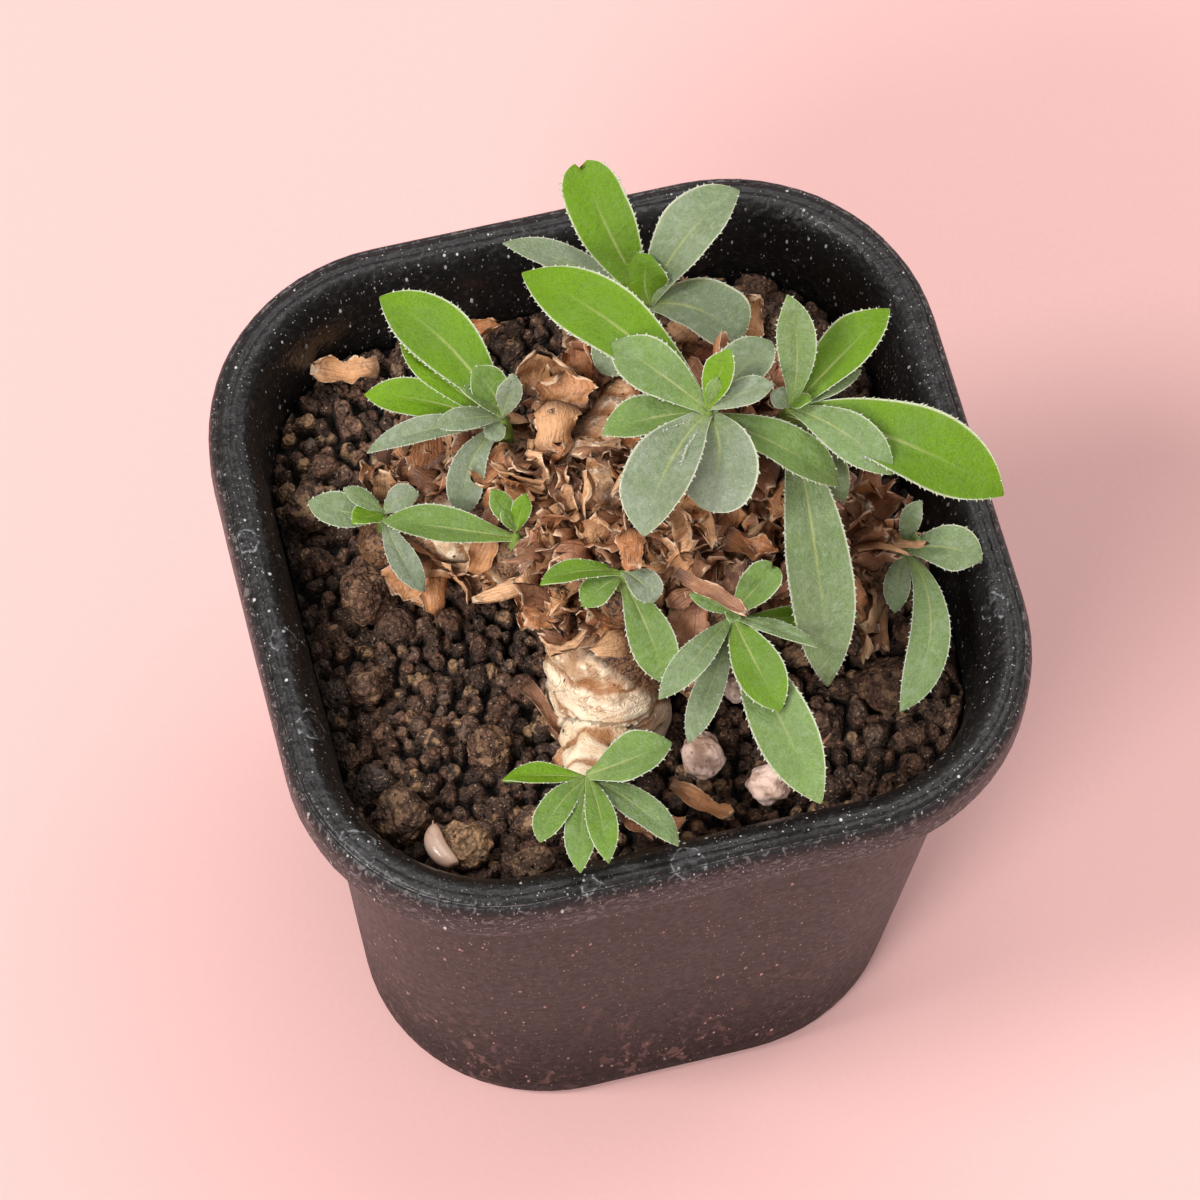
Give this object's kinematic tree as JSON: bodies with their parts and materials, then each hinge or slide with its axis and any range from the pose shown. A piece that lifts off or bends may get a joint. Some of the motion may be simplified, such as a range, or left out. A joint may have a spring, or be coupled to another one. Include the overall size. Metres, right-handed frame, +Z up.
{
  "type": "potted othonna",
  "caption": "caudex succulent with rosettes of toothed oval leaves on stubby branches wrapped in dry dead leaves, in a tapered square black pot of coarse dark soil",
  "frame": {"origin": "centre of the pot's base, on the surface that it stands on", "axes": "+Z up through the pot's mouth; +X to the right and +Y to the back as seen from the pot's front, which the picture shows nearest"},
  "size_m": [0.09, 0.09, 0.1291],
  "materials": {
    "pot": "satin",
    "soil": "matte",
    "caudex": "matte",
    "dead_leaf": "matte",
    "young_leaf": "satin",
    "old_leaf": "matte",
    "pumice": "matte",
    "husk": "satin"
  },
  "bodies": {
    "root": {"pot": "pot", "soil": "soil", "caudex": "caudex", "dead_leaves": "dead_leaf", "husk": "husk", "pumice_1": "pumice", "pumice_2": "pumice", "pumice_3": "pumice", "dry_leaf_left": "dead_leaf", "dry_leaf_back": "dead_leaf", "dry_leaf_front": "dead_leaf", "leaves_crown": "old_leaf", "leaves_right": "old_leaf", "leaves_back": "young_leaf", "leaves_back_left": "young_leaf", "leaves_middle_left": "old_leaf", "leaves_left": "old_leaf", "leaves_middle_front": "old_leaf", "leaves_front": "old_leaf", "leaves_low_right": "old_leaf", "leaves_low_front": "young_leaf"}
  },
  "joints": []
}
